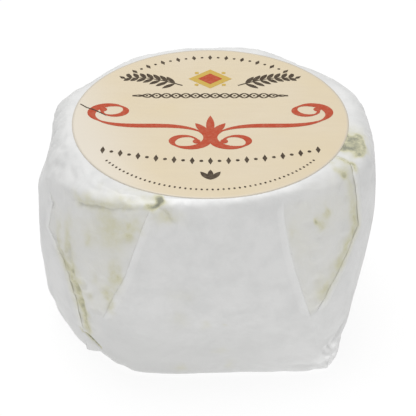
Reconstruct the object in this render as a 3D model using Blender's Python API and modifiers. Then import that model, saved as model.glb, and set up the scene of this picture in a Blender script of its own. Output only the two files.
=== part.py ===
"""A small soft-ripened cheese wrapped in one sheet of white paper, with a round paper label on top.

The sheet lies flat on the cheese's top, turns over its shoulder and is pleated down the side: four broad
panels stand a little proud, and between them four narrow kites of single paper lie close to the cheese.
Under the cheese the folded ends of the sheet meet round a small gap at the middle.
Metres, +Z up, the front panel faces -Y, and the origin is under the middle of the wrapped cheese.
"""

import math

import bmesh
import bpy

MM = 0.001

# The wrapped cheese as it stands.
WRAP_HEIGHT = 57.0 * MM
PAPER_THICKNESS = 0.5 * MM
GAP = 0.3 * MM

# The flat sides of the wrap seen from above: (direction in degrees, distance from the axis in mm).
# The upper outline is nearly round, and the foot is a square with its corners folded in.
UPPER_SIDES = (
    (0, 44.5), (30, 45.0), (60, 42.2), (90, 43.8), (120, 40.2), (150, 41.0),
    (180, 39.2), (210, 41.0), (240, 43.0), (270, 37.7), (300, 38.4), (330, 47.6),
)
FOOT_SIDES = (
    (0, 36.9), (45, 41.5), (90, 38.5), (135, 41.5), (180, 41.6),
    (215, 42.0), (240, 41.4), (270, 37.8), (305, 48.2), (320, 48.7),
)
UPPER_SHARPNESS = 14
FOOT_SHARPNESS = 40
BELLY = 4.6 * MM
FOOT_ROUNDING = 2.4 * MM

# The shoulder's inset and drop in mm, every 30 degrees from +X. It is a sharp fold over the front panel.
SHOULDER = (
    (4.6, 6.0), (5.4, 5.0), (3.2, 6.1), (5.1, 6.7), (2.8, 8.0), (5.6, 6.8),
    (3.7, 9.2), (5.0, 6.0), (3.0, 2.4), (1.3, 1.2), (1.6, 1.5), (4.0, 4.0),
)
SHOULDER_PITCH = 30.0

# The kites between the panels. Each edge is a crease, given by its knots: (height in mm, direction in degrees).
KITES = (
    (((52, 37), (30, 40), (11, 46)), ((52, 66), (36, 63), (11, 50))),
    (((52, 117), (34, 122), (9, 133)), ((52, 150), (36, 147), (9, 137))),
    (((51, 211), (35, 207), (29, 217), (8, 222)), ((54, 249), (34, 242), (20, 236), (8, 226))),
    (((54, 298), (38, 300), (19, 304)), ((53, 328), (40, 327), (36, 316), (19, 306))),
)
KITE_DEPTH = 1.1 * MM
CREASE_WIDTH = math.radians(1.4)
KITE_FADE = 7.0 * MM
KITE_SPANS = 4
PANEL_SPANS = 10

# Rings of the loft, from the middle of the top round to the gap under the cheese.
TOP_RING_SHARES = (0.45, 0.8, 1.0)
SHOULDER_STEPS = 4
SIDE_SHARES = (0.08, 0.17, 0.26, 0.35, 0.44, 0.53, 0.62, 0.71, 0.80, 0.88, 0.95)
FOOT_STEPS = 2
UNDER_RING_SHARES = (0.93, 0.55)
CENTRE_GAP_RADIUS = 3.5 * MM
UNDER_RELIEF = 0.4 * MM

# The cheese inside.
CHEESE_CENTRE = (0.0, 1.8 * MM)
CHEESE_RADIUS = 37.8 * MM
CHEESE_BELLY = 3.2 * MM
CHEESE_TOP_ROUNDING = 8.0 * MM
CHEESE_FOOT_ROUNDING = 12.0 * MM
CHEESE_STEPS = 64
ROUNDING_POINTS = 5
BELLY_POINTS = 7

# The label.
LABEL_RADIUS = 36.5 * MM
LABEL_THICKNESS = 0.35 * MM
LABEL_CENTRE = (1.9 * MM, 0.7 * MM)
LABEL_SIDES = 96

PAPER_COLOUR = (0.80, 0.80, 0.79, 1.0)
RIND_COLOUR = (0.86, 0.84, 0.76, 1.0)
LABEL_COLOUR = (0.80, 0.70, 0.50, 1.0)


def clear_scene():
    for obj in list(bpy.data.objects):
        bpy.data.objects.remove(obj, do_unlink=True)


def make_material(name, colour, roughness):
    material = bpy.data.materials.new(name)
    material.use_nodes = True
    shader = material.node_tree.nodes["Principled BSDF"]
    shader.inputs["Base Color"].default_value = colour
    shader.inputs["Roughness"].default_value = roughness
    shader.inputs["Metallic"].default_value = 0.0
    return material


def add_object(name, mesh, collection, material):
    obj = bpy.data.objects.new(name, mesh)
    obj.data.materials.append(material)
    collection.objects.link(obj)
    return obj


def smoothstep(low, high, value):
    share = min(max((value - low) / (high - low), 0.0), 1.0)
    return share * share * (3.0 - 2.0 * share)


def outline_radius(direction, sides, sharpness):
    """Radius in a direction of the polygon with these flat sides, its corners rounder at a lower sharpness."""
    total = 0.0
    for side_direction, distance in sides:
        facing = math.cos(direction - math.radians(side_direction))
        if facing > 0.0:
            total += (facing / (distance * MM)) ** sharpness
    return total ** (-1.0 / sharpness)


def shoulder_size(direction):
    """Inset and drop of the rounded shoulder in a direction, in metres."""
    place = math.degrees(direction) / SHOULDER_PITCH
    before = math.floor(place)
    share = smoothstep(0.0, 1.0, place - before)
    first = SHOULDER[before % len(SHOULDER)]
    second = SHOULDER[(before + 1) % len(SHOULDER)]
    return tuple((one + (other - one) * share) * MM for one, other in zip(first, second))


def panel_radius(direction, height):
    """Radius of the panels' outer surface, with the shoulder and the foot still square."""
    share = height / WRAP_HEIGHT
    foot = outline_radius(direction, FOOT_SIDES, FOOT_SHARPNESS)
    upper = outline_radius(direction, UPPER_SIDES, UPPER_SHARPNESS)
    return foot + (upper - foot) * share + BELLY * math.sin(math.pi * share)


def crease_direction(knots, height):
    """Direction in radians of a crease at a height, straight between its knots."""
    height_mm = height / MM
    if height_mm >= knots[0][0]:
        return math.radians(knots[0][1])
    for (upper, upper_angle), (lower, lower_angle) in zip(knots, knots[1:]):
        if height_mm >= lower:
            share = (upper - height_mm) / (upper - lower)
            return math.radians(upper_angle + (lower_angle - upper_angle) * share)
    return math.radians(knots[-1][1])


def kite_depth(kite, height):
    """How far the kite lies behind the panels: nothing at the shoulder, nor below the kite's point."""
    point = kite[0][-1][0] * MM
    top = kite[0][0][0] * MM
    opening = 1.0 - smoothstep(top - KITE_FADE, top, height)
    closing = smoothstep(point, point + KITE_FADE, height)
    return KITE_DEPTH * opening * closing


def crease_on_ring(knots, height_at):
    """Direction of a crease where it crosses the ring that has this height in each direction."""
    return crease_direction(knots, height_at(math.radians(knots[0][1])))


def ring_columns(height_at):
    """(direction, depth behind the panels) of each column of the loft on a ring, once round."""
    columns = []
    for index, kite in enumerate(KITES):
        following = KITES[(index + 1) % len(KITES)]
        start = crease_on_ring(kite[0], height_at)
        end = crease_on_ring(kite[1], height_at)
        next_start = crease_on_ring(following[0], height_at)
        if next_start < end:
            next_start += 2.0 * math.pi
        depth = kite_depth(kite, height_at(0.5 * (start + end)))
        for step in range(KITE_SPANS + 1):
            columns.append((start + (end - start) * step / KITE_SPANS, depth))
        first = end + CREASE_WIDTH
        last = next_start - CREASE_WIDTH
        for step in range(PANEL_SPANS + 1):
            columns.append((first + (last - first) * step / PANEL_SPANS, 0.0))
    return columns


def ring_point(direction, radius, height):
    return (radius * math.cos(direction), radius * math.sin(direction), height)


def top_height(direction):
    return WRAP_HEIGHT


def foot_height(direction):
    return 0.0


def top_ring(share):
    points = []
    for direction, _ in ring_columns(top_height):
        inset, _ = shoulder_size(direction)
        flat = panel_radius(direction, WRAP_HEIGHT) - inset
        points.append(ring_point(direction, flat * share, WRAP_HEIGHT))
    return points


def shoulder_ring(share):
    """A ring on the quarter round from the flat top, at share 0, to the side, at share 1."""
    angle = 0.5 * math.pi * share
    points = []
    for direction, _ in ring_columns(top_height):
        inset, drop = shoulder_size(direction)
        height = WRAP_HEIGHT - drop * (1.0 - math.cos(angle))
        radius = panel_radius(direction, height) - inset * (1.0 - math.sin(angle))
        points.append(ring_point(direction, radius, height))
    return points


def side_ring(share):
    """A ring at this share of the way down from the shoulder to the rounding of the foot."""
    def height_at(direction):
        _, drop = shoulder_size(direction)
        return (WRAP_HEIGHT - drop) * (1.0 - share) + FOOT_ROUNDING * share

    points = []
    for direction, depth in ring_columns(height_at):
        height = height_at(direction)
        points.append(ring_point(direction, panel_radius(direction, height) - depth, height))
    return points


def foot_ring(share):
    """A ring on the small round from the side, at share 0, to the flat underside, at share 1."""
    angle = 0.5 * math.pi * share
    height = FOOT_ROUNDING * (1.0 - math.sin(angle))
    points = []
    for direction, _ in ring_columns(foot_height):
        radius = panel_radius(direction, height) - FOOT_ROUNDING * (1.0 - math.cos(angle))
        points.append(ring_point(direction, radius, height))
    return points


def under_ring(share):
    """A ring under the cheese. The folded corners of the sheet lie lowest, and between them it rises a little."""
    points = []
    for index, (direction, _) in enumerate(ring_columns(foot_height)):
        radius = (panel_radius(direction, 0.0) - FOOT_ROUNDING) * share
        radius = max(radius, CENTRE_GAP_RADIUS)
        in_quarter = index % (KITE_SPANS + PANEL_SPANS + 2)
        between_folds = KITE_SPANS < in_quarter < KITE_SPANS + 4
        points.append(ring_point(direction, radius, UNDER_RELIEF if between_folds else 0.0))
    return points


def wrap_rings():
    rings = [top_ring(share) for share in TOP_RING_SHARES]
    rings += [shoulder_ring(step / SHOULDER_STEPS) for step in range(1, SHOULDER_STEPS + 1)]
    rings += [side_ring(share) for share in SIDE_SHARES]
    rings += [foot_ring(step / FOOT_STEPS) for step in range(FOOT_STEPS + 1)]
    rings += [under_ring(share) for share in UNDER_RING_SHARES]
    rings.append(under_ring(0.0))
    return rings


def make_wrap(collection, material):
    """The sheet as an open surface, lofted from ring to ring and thickened inwards."""
    form = bmesh.new()
    centre = form.verts.new((0.0, 0.0, WRAP_HEIGHT))
    rings = [[form.verts.new(point) for point in ring] for ring in wrap_rings()]
    count = len(rings[0])
    for column in range(count):
        after = (column + 1) % count
        form.faces.new((centre, rings[0][column], rings[0][after]))
        for upper, lower in zip(rings, rings[1:]):
            form.faces.new((upper[column], lower[column], lower[after], upper[after]))
    mesh = bpy.data.meshes.new("paper_wrap")
    form.to_mesh(mesh)
    form.free()
    mesh.shade_smooth()
    mesh.set_sharp_from_angle(angle=math.radians(28))
    wrap = add_object("paper_wrap", mesh, collection, material)
    shell = wrap.modifiers.new("Thickness", "SOLIDIFY")
    shell.thickness = PAPER_THICKNESS
    shell.offset = -1.0
    shell.use_rim = True
    return wrap


def cheese_profile():
    """Half of the cheese's section, from the middle of its top round to the middle of its underside."""
    top = WRAP_HEIGHT - PAPER_THICKNESS - GAP
    bottom = UNDER_RELIEF + PAPER_THICKNESS + GAP
    points = [(0.0, top), (0.5 * CHEESE_RADIUS, top)]
    for step in range(ROUNDING_POINTS + 1):
        angle = 0.5 * math.pi * step / ROUNDING_POINTS
        radius = CHEESE_RADIUS - CHEESE_TOP_ROUNDING * (1.0 - math.sin(angle))
        points.append((radius, top - CHEESE_TOP_ROUNDING * (1.0 - math.cos(angle))))
    upper, lower = top - CHEESE_TOP_ROUNDING, bottom + CHEESE_FOOT_ROUNDING
    for step in range(1, BELLY_POINTS):
        share = step / BELLY_POINTS
        radius = CHEESE_RADIUS + CHEESE_BELLY * math.sin(math.pi * share)
        points.append((radius, upper + (lower - upper) * share))
    for step in range(ROUNDING_POINTS + 1):
        angle = 0.5 * math.pi * step / ROUNDING_POINTS
        radius = CHEESE_RADIUS - CHEESE_FOOT_ROUNDING * (1.0 - math.cos(angle))
        points.append((radius, bottom + CHEESE_FOOT_ROUNDING * (1.0 - math.sin(angle))))
    points += [(0.5 * CHEESE_RADIUS, bottom), (0.0, bottom)]
    return points


def make_cheese(collection, material):
    mesh = bpy.data.meshes.new("cheese")
    points = cheese_profile()
    edges = [(index, index + 1) for index in range(len(points) - 1)]
    mesh.from_pydata([(radius, 0.0, height) for radius, height in points], edges, [])
    cheese = add_object("cheese", mesh, collection, material)
    cheese.location = (*CHEESE_CENTRE, 0.0)
    turn = cheese.modifiers.new("Turned", "SCREW")
    turn.steps = CHEESE_STEPS
    turn.render_steps = CHEESE_STEPS
    turn.use_merge_vertices = True
    turn.merge_threshold = 0.0001
    turn.use_smooth_shade = True
    return cheese


def make_label(collection, material):
    """A thin disc over the middle of the top. It reaches a little past the flat, over the shoulder."""
    form = bmesh.new()
    bmesh.ops.create_cone(
        form,
        cap_ends=True,
        segments=LABEL_SIDES,
        radius1=LABEL_RADIUS,
        radius2=LABEL_RADIUS,
        depth=LABEL_THICKNESS,
    )
    mesh = bpy.data.meshes.new("label")
    form.to_mesh(mesh)
    form.free()
    label = add_object("label", mesh, collection, material)
    label.location = (*LABEL_CENTRE, WRAP_HEIGHT + GAP + 0.5 * LABEL_THICKNESS)
    return label


def centre_over_origin(wrap, others):
    """Moves everything sideways so that the middle of the wrap's extent lies on the vertical axis."""
    bpy.context.view_layer.update()
    shell = wrap.evaluated_get(bpy.context.evaluated_depsgraph_get())
    for axis in (0, 1):
        reach = [corner[axis] for corner in shell.bound_box]
        middle = 0.5 * (min(reach) + max(reach))
        for obj in (wrap, *others):
            obj.location[axis] -= middle


def main():
    clear_scene()
    collection = bpy.data.collections.new("wrapped_cheese")
    bpy.context.scene.collection.children.link(collection)
    cheese = make_cheese(collection, make_material("rind", RIND_COLOUR, 0.8))
    wrap = make_wrap(collection, make_material("paper", PAPER_COLOUR, 0.5))
    label = make_label(collection, make_material("label_paper", LABEL_COLOUR, 0.55))
    centre_over_origin(wrap, (cheese, label))


main()
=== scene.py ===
"""Looks of a small soft-ripened cheese wrapped in white waxed paper, with a round label on top.

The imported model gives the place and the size. The paper is one creased sheet with real folds at its pleats,
the label is a thin disc with a generic ornament printed on it, and the studio a white floor in soft light.
Lengths are in millimetres and directions in degrees, anticlockwise from +X, until a mesh is made. A height is
above the resting plane. A tilt is the upward lean of the paper's face, in radians.
"""

import math

import bmesh
import bpy
import numpy as np
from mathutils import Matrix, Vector, noise

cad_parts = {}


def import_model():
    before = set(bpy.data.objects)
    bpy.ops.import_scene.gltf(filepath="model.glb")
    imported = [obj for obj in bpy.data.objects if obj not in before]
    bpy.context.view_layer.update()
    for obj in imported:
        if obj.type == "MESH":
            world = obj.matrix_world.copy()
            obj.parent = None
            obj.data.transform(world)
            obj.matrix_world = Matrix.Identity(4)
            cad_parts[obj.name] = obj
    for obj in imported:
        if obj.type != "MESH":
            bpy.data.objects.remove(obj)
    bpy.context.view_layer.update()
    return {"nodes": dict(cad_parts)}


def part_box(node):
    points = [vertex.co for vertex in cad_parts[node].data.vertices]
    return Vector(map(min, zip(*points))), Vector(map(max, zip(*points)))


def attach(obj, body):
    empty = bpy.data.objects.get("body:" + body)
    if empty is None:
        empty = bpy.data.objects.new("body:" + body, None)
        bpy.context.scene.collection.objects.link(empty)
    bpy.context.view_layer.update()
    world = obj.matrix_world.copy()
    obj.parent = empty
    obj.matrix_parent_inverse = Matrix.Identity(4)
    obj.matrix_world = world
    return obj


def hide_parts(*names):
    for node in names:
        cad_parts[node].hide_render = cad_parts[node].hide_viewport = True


MM = 0.001

# The outer form of the wrap, with nearly the sizes of its solid. Each side is (direction, distance), and the
# shoulder is the inset and drop of its rounding, every SHOULDER_PITCH degrees from +X.
WRAP_HEIGHT = 57.0
UPPER_SIDES = (
    (0, 44.5), (30, 45.0), (60, 42.2), (90, 43.8), (120, 40.2), (150, 41.0),
    (180, 39.2), (210, 41.0), (240, 43.0), (270, 37.7), (300, 38.4), (330, 47.6),
)
FOOT_SIDES = (
    (0, 36.9), (45, 41.5), (90, 38.5), (135, 41.5), (180, 41.6),
    (215, 42.0), (240, 41.4), (270, 37.8), (305, 48.2), (320, 48.7),
)
UPPER_SHARPNESS = 14
FOOT_SHARPNESS = 40
BELLY = 4.6
FOOT_ROUNDING = 2.4
SHOULDER = (
    (4.6, 6.0), (5.4, 5.0), (3.2, 6.1), (5.1, 6.7), (2.8, 8.0), (5.6, 6.8),
    (3.7, 9.2), (5.0, 6.0), (3.0, 2.6), (1.6, 2.2), (1.7, 1.9), (4.0, 4.0),
)
SHOULDER_PITCH = 30.0
CENTRE_GAP_RADIUS = 3.5

# Where the top sags: direction, half-width in degrees, radius where it starts and ends, depth. It fades out
# over the shoulder between two heights.
SAG = (221.0, 34.0, 28.0, 39.5, 1.3)
SAG_FADES = (50.0, 56.0)

# Where the foot's edge is lifted at a folded corner: direction, half-width in degrees, extra rounding.
LIFTED_FEET = ((229.0, 6.0, 3.4), (238.0, 4.5, 2.2), (306.0, 8.0, 0.9))

# The foot of the front panel turns out: direction, half-width in degrees, amount, height that it fades over.
FOOT_FLARE = (250.0, 20.0, 0.65, 5.0)

# Corners of the stiff sheet that stand out of the form: direction, height, half-width, half-height, amount.
STIFF_CORNERS = (
    (161.0, 51.5, 7.0, 5.0, 1.5),
    (17.0, 54.0, 7.0, 4.5, 0.7),
    (186.0, 40.0, 5.0, 5.0, 0.8),
    (178.0, 46.5, 6.0, 4.0, -0.9),
    (66.0, 56.0, 8.0, 3.0, 0.4),
    (88.0, 56.0, 7.0, 3.0, -0.4),
    (46.0, 56.0, 8.0, 4.0, -0.6),
    (143.0, 56.0, 9.0, 4.0, -0.9),
    (198.0, 10.0, 4.5, 3.0, 0.6),
    (203.0, 5.0, 3.5, 3.0, -0.6),
    (201.0, 20.5, 5.0, 6.0, -0.6),
    (215.0, 4.5, 3.5, 4.0, 0.7),
    (238.0, 4.0, 4.0, 4.0, 0.6),
    (312.5, 2.5, 2.4, 2.6, 1.1),
    (319.5, 6.0, 3.2, 5.5, -0.8),
    (293.0, 2.0, 5.0, 2.5, -0.6),
)

# The kites of single paper between the panels. A crease is its knots, downwards: (height, direction).
# depths are how far the kite lies behind the panel along each crease, at its top and at its point.
KITES = (
    {
        "creases": (((54, 36), (30, 40), (11, 46)), ((54, 67), (36, 63), (11, 50))),
        "depths": ((0.30, 0.15), (0.32, 0.15)),
    },
    {
        "creases": (((54, 116), (34, 122), (9, 133)), ((54, 151), (36, 147), (9, 137))),
        "depths": ((0.32, 0.15), (0.30, 0.15)),
    },
    {
        "creases": (
            (
                (46.5, 203.5), (43.6, 208.0), (36, 206.6), (34, 211),
                (31.1, 217.6), (27.5, 221), (19.2, 223.7), (7.2, 223.6),
            ),
            ((56, 251.7), (48.7, 248.9), (37.1, 244.9), (29.8, 241.2), (24.2, 238.6), (18, 235.5)),
        ),
        "depths": ((0.06, 0.16), (0.14, 0.08)),
    },
    {
        "creases": (
            ((55, 299.6), (49.6, 299.1), (42.4, 299.7), (36.4, 300.9), (25.5, 303.9), (21, 305.4)),
            (
                (57.3, 331.8), (53.9, 328.9), (47.4, 328.7), (40.7, 328),
                (38.8, 324.8), (34.1, 317.5), (28.6, 312), (21, 306),
            ),
        ),
        "depths": ((0.12, 0.12), (0.30, 0.08)),
    },
)

# A pleat is fully folded from FOLD_START below its top to FOLD_END above its point. The sheet goes under the
# panel's edge by TUCK_SLOPE of the way down from the top, and by TUCK_MOST at most.
FOLD_START = 2.5
FOLD_END = 3.0
TUCK_SLOPE = 0.39
TUCK_MOST = 5.0
MEAN_RADIUS = 44.0

# A kite lies deeper at its creases, and shows less of the rind there.
KITE_HOLLOW = 0.06
KITE_HOLLOW_POWER = 1.5
SINGLE_START = 0.5
SINGLE_SLOPE = 6.0

# The sheet where it turns under a panel's edge and comes out again as the kite, in order from the panel:
# (mm in from the edge, share of the tuck in from it, mm below the panel's face, share of the kite's depth,
# how much the wax is whitened by the fold, which also paints a highlight along the folded edge).
TURN = (
    (1.80, 0.0, -0.03, 0.0, 0.15),
    (0.80, 0.0, -0.14, 0.0, 0.30),
    (0.25, 0.0, -0.10, 0.0, 0.45),
    (0.04, 0.0, 0.02, 0.0, 0.55),
    (0.00, 0.0, 0.10, 0.0, 0.55),
    (0.14, 0.0, 0.19, 0.0, 0.3),
    (0.00, 0.4, 0.20, 0.12, 0.0),
    (0.00, 1.0, 0.18, 0.60, 0.0),
    (0.00, 0.8, 0.00, 1.0, 0.0),
    (0.00, 0.3, 0.00, 1.0, 0.0),
)

# Where the sheet is tight over the rim and its wax whitened, with a painted highlight along the rim:
# direction, half-width in degrees. The white grows between two tilts, and fades between two others towards
# the flat top.
WHITENED_HIGHLIT_RIM = (272.0, 40.0)
WHITENED_HIGHLIT_RIM_TILTS = (0.35, 1.0)
FLAT_TOP_TILTS = (1.45, 1.56)

# Where the front panel is painted greyer towards its foot, as shade: direction, half-width in degrees, and
# the heights between which that fades out.
SHADED_FRONT = (261.0, 37.0)
SHADED_FRONT_HEIGHTS = (11.0, 29.0)
SHADED_FRONT_SHARE = 0.75

# How finely the sheet is meshed: rings of each part, spans over a kite, and spans over each panel with the
# power that sets them closer together towards its first edge.
RINGS = {"top": 22, "shoulder": 16, "side": 112, "foot": 6, "under": 12}
KITE_SPANS = 32
PANEL_SPANS = ((50, 1.0), (50, 1.0), (116, 1.0), (112, 1.5))
MERGE_DISTANCE = 0.004

# Under the cheese each folded end of the sheet rises by this much to lie on the one before.
UNDER_STEP = 0.45
UNDERSIDE_TILTS = (1.45, 1.55)

# Relief of the paper: amplitude, size and noise seed of each kind. A ridged kind also has the slope of its
# ridges and the level that is taken off them.
SWELL = (0.30, 15.0, 0.0)
RIPPLE = (0.15, 6.0, 7.0)
PANEL_WAVE = (0.18, 9.0, 3.0)
STREAK = (0.28, 2.1, 13.0)
CRINKLE = (0.36, 3.2, 11.0, 2.0, 0.5)
SHOULDER_WRINKLE = (0.52, 2.6, 5.0, 2.2, 0.5)
CORNER_FACET = (1.0, 2.4, 19.0, 2.4, 0.7)

# The crinkle that a panel keeps, the share of height that draws waves out upright, the direction where the
# shoulder wrinkles most, what is left of that elsewhere, and the bounds of the shoulder, side and foot.
CRINKLE_ON_PANELS = 0.22
UPRIGHT_SHARE = 0.22
WRINKLED_SIDE = 200.0
WRINKLED_COSINES = (0.1, 0.9)
WRINKLES_ELSEWHERE = 0.30
SHOULDER_HEIGHTS = (46.0, 52.0)
SIDE_TILTS = (0.1, 0.6)
FOOT_TILTS = (0.6, 1.2)
UNDERSIDE_FLATNESS = 0.9

# The dark gap over the free tip of the left panel, its shadow painted dark: knots (height, direction),
# half-width, strength.
TIP_GAP = ((9.6, 221.8), (8.7, 225.2), (8.0, 228.4), (6.9, 231.6))
TIP_GAP_HALF_WIDTH = 0.38
TIP_GAP_STRENGTH = 3.0

# Creases pressed into the paper: knots (height, direction), depth, half-width. A negative depth is a ridge.
PRESSED_CREASES = (
    (TIP_GAP, 0.75, 0.40),
    (((50.6, 219), (51.4, 226.1), (53.1, 232), (54.1, 238.0), (55.2, 248.2)), 0.65, 0.8),
    (((56.6, 250.0), (56.1, 253.3), (54.0, 257.0), (51.3, 260.5)), 0.80, 0.9),
    (((50.6, 231.5), (48.0, 232.6), (45.8, 234.6)), 0.30, 0.6),
    (((41.5, 219.5), (39.4, 220.3), (32.2, 223.8), (23.2, 226.2), (12, 226.0)), 0.30, 0.9),
    (((44.0, 222.5), (38.0, 223.5), (31.0, 227.0), (22.0, 229.0)), -0.22, 1.3),
    (((45.0, 194), (47.5, 199), (50.9, 208.1), (52.7, 214.7), (54.2, 221.4), (55, 228)), -0.45, 1.3),
    (((44, 210), (36, 210), (34, 214.5), (31.1, 220.6), (27.5, 224), (19.2, 226.4), (10, 226.8)), 0.8, 2.2),
    (((16.5, 320.4), (12.2, 316.3), (9.6, 313.7), (8.5, 311.5), (7.8, 310.8)), 0.9, 0.35),
    (((12.0, 312.6), (9.9, 309.4), (6.6, 308.4)), -0.35, 0.6),
    (((7.4, 313.4), (5.2, 312.6), (3.6, 313.6)), -0.8, 0.7),
    (((20.0, 306.2), (14.0, 307.0), (9.5, 308.4)), 0.28, 0.6),
    (((4.6, 300.0), (4.2, 306.0), (3.6, 312.0)), 0.30, 0.6),
    (((54.6, 329.6), (56.7, 333.0), (57.0, 338.0)), 0.40, 0.8),
    (((52.0, 322.0), (54.6, 327.0)), 0.30, 0.7),
    (((57.0, 204.0), (53.8, 203.5), (50.8, 202.0)), 0.25, 1.0),
    (((57.0, 189.0), (52.0, 188.0), (46.0, 190.0)), 0.20, 0.9),
)
CREASE_SHARPNESS = 1.3

# How a line weakens towards its ends: where it starts on a half wave, and how much of the wave it takes up.
CREASE_TAPER = (0.1, 0.8)
CREASE_GAIN = 1.25
STRIP_TAPER = (0.12, 0.76)
GAP_TAPER = (0.1, 0.75)

# The crumpled corner at the foot: direction, height, half-width, half-height. The falloffs are powers.
CRUMPLED_CORNER = (314.5, 5.0, 4.6, 5.0)
CRUMPLE_FALLOFF = 2.5
STIFF_FALLOFF = 1.6

# The tip of the left panel that hangs free under the lifted foot: (height, direction, mm inside the form).
TIP_TOP = (10.5, 222.6, 0.5)
TIP_OUTER = (0.7, 221.8, -0.3)
TIP_INNER = (4.3, 231.8, 1.1)
TIP_STEPS = 14
TIP_BOW = (-0.3, -0.4, 0.0)

# Where the damp rind shows most through the paper: direction, height, half-width, half-height, strength.
# The three at 251 to 258 degrees near the top are painted shade, of the tuck's hollow and the shadow trailing
# from it, and the band under the rim at 226 to 244 degrees is partly painted shade under the shoulder.
STAINS_AND_SHADE = (
    (238.6, 46.9, 3.8, 3.8, 0.75),
    (230.7, 43.6, 1.4, 2.2, 0.6),
    (245.1, 47.8, 1.6, 1.8, 0.8),
    (241.6, 36.0, 1.5, 3.8, 1.2),
    (239.0, 28.5, 1.3, 4.0, 1.2),
    (220.8, 39.4, 1.5, 5.5, 0.9),
    (224.5, 32.2, 1.5, 6.0, 1.0),
    (226.7, 23.2, 1.3, 8.0, 0.9),
    (226.4, 13.0, 1.3, 5.0, 0.8),
    (231.3, 26.1, 1.3, 1.2, 0.5),
    (234.0, 32.8, 1.1, 1.5, 0.4),
    (238.7, 50.8, 6.0, 2.0, 0.5),
    (226.0, 52.8, 3.6, 1.6, 0.8),
    (234.0, 54.2, 4.4, 1.7, 0.9),
    (243.5, 55.8, 4.4, 1.4, 0.7),
    (253.6, 56.4, 2.2, 0.6, 2.2),
    (251.8, 55.6, 1.4, 0.8, 1.2),
    (246.5, 50.6, 2.0, 2.2, 0.6),
    (257.5, 53.4, 3.4, 1.9, 0.8),
    (262.7, 32.0, 3.0, 2.0, 0.16),
    (261.9, 24.3, 2.0, 3.0, 0.20),
    (270.9, 22.0, 1.1, 1.4, 0.30),
    (277.7, 22.1, 0.6, 0.4, 0.45),
    (275.5, 12.0, 2.2, 1.0, 0.26),
    (261.5, 4.4, 2.4, 1.6, 0.40),
    (279.8, 6.1, 1.2, 1.8, 0.34),
    (310.7, 48.0, 0.8, 0.8, 1.7),
    (312.4, 46.4, 1.2, 1.8, 0.8),
    (314.9, 48.6, 0.8, 1.6, 1.4),
    (301.6, 46.4, 1.0, 2.6, 0.4),
    (309.0, 29.0, 1.6, 3.0, 0.5),
    (345.0, 57.0, 4.4, 1.2, 1.9),
    (338.0, 56.8, 2.0, 0.8, 1.7),
    (326.4, 55.9, 1.4, 1.0, 1.3),
    (331.0, 56.2, 1.0, 1.2, 1.8),
)

# Damp strips beside a panel's edge, which also paint the shade of the recess under that edge: knots
# (height, direction), half-width, strength.
DAMP_AND_SHADED_STRIPS = (
    (((40.0, 214), (34.0, 215.5), (31.1, 220.6), (27.5, 223.6), (19.2, 225.6), (9.4, 226.2)), 2.1, 0.95),
    (((55.0, 327.6), (47.4, 327.0), (41.0, 326.2), (38.0, 321.0), (34.1, 315.4), (28.6, 310)), 1.6, 1.1),
)

# How the edges of the stains and the painted shade wander, across and up: amplitude, size and noise seed.
WANDER_ACROSS = (1.3, 2.6, 23.0)
WANDER_UP = (1.3, 2.6, 31.0)
STAIN_AND_SHADE_MOST = 2.6

# The label. The paper is smooth under it, and grows uneven again between two distances past its edge and
# between two heights down the shoulder.
LABEL_RADIUS = 36.1
LABEL_CENTRE = (1.8, 0.2)
SHEET_THICKNESS = 0.07
LABEL_GAP = 0.10
LABEL_CLEARANCE = (0.22, 2.2)
LABEL_HEIGHTS = (50.0, 54.0)
LABEL_STEEPEST = 0.98
LABEL_RINGS = 40
LABEL_RING_POWER = 0.8
LABEL_SIDES = 240
LABEL_COCKLE = (0.05, 7.0, 41.0)
PALE_SIDE = (-0.96, -0.28)
PALE_REACH = (17.0, 36.0)
# The label's cut rim is painted pale, as light over the shade along its edge.
PALE_RIM = (0.985, 1.0)
INK_LIFT = 0.03
INK_STEP = 0.004
INK_LAYERS = 5

# The print, in millimetres from the label's middle: x to the right, y away from the front panel.
SCROLL_CENTRE = (16.0, -4.4)
SCROLL_WIDTH = 30.5
SCROLL_HEIGHT = 20.5
SCROLL_TURN = 2.6
SCROLL_STROKE = (0.55, 2.9)
NIB_TURN = 35.0
SCROLL_STEPS = 110
SCROLL_END = (1.0, 1.0)
BUD_ROOT = (0.0, -9.0)
BUD_LEAVES = ((90.0, 9.5), (56.0, 7.0), (124.0, 7.0))
BUD_LEAF_WIDTH = 2.2
MEDALLION_CENTRE = (0.0, 19.6)
MEDALLION_HALF_SIZE = (6.0, 5.2)
MEDALLION_INNER_SHARE = 0.56
SPOT_SHARE = 0.62
SPOT_SIZE = (0.6, 0.6)
SPRIG_START = 7.6
SPRIG_LENGTH = 15.5
SPRIG_DROP = 3.6
SPRIG_RISE = 4.2
SPRIG_BEND = 0.62
SPRIG_STEM = (0.50, 0.22)
SPRIG_LEAVES = 7
SPRIG_LEAF = (4.4, 1.35)
SPRIG_LEAF_SHORTENS = 0.3
SPRIG_HEADING = 8.0
SPRIG_LEANS = (-44.0, 48.0)
UPPER_BAND_RADIUS = 31.6
UPPER_BAND_REACH = 50.0
UPPER_BEAD = (0.42, 0.42)
UPPER_LOZENGE = (1.30, 0.60)
BRAID_HALF_LENGTH = 21.0
BRAID_MIDDLE = 10.6
BRAID_HEIGHT = 1.15
BRAID_PERIOD = 5.25
BRAID_STROKE = (0.34, 0.30)
BRAID_BEAD = (0.36, 0.36)
LOWER_BAND_HALF_WIDTH = 27.0
LOWER_BAND_MIDDLE = -20.6
LOWER_BAND_RISE = 5.0
LOWER_BEAD = (0.5, 0.5)
LOWER_LOZENGE = (0.62, 1.55)
BEAD_SPACING = 2.2
FOOT_BAND_RADIUS = 32.6
FOOT_BAND_TURNS = (218.0, 323.0, 2.3)
FOOT_BEAD = (0.36, 0.28)
TUFT_ROOT = (0.0, -28.6)
TUFT_TURNS = (54.0, 90.0, 126.0)
TUFT_LEAF = (4.2, 1.5)

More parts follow.
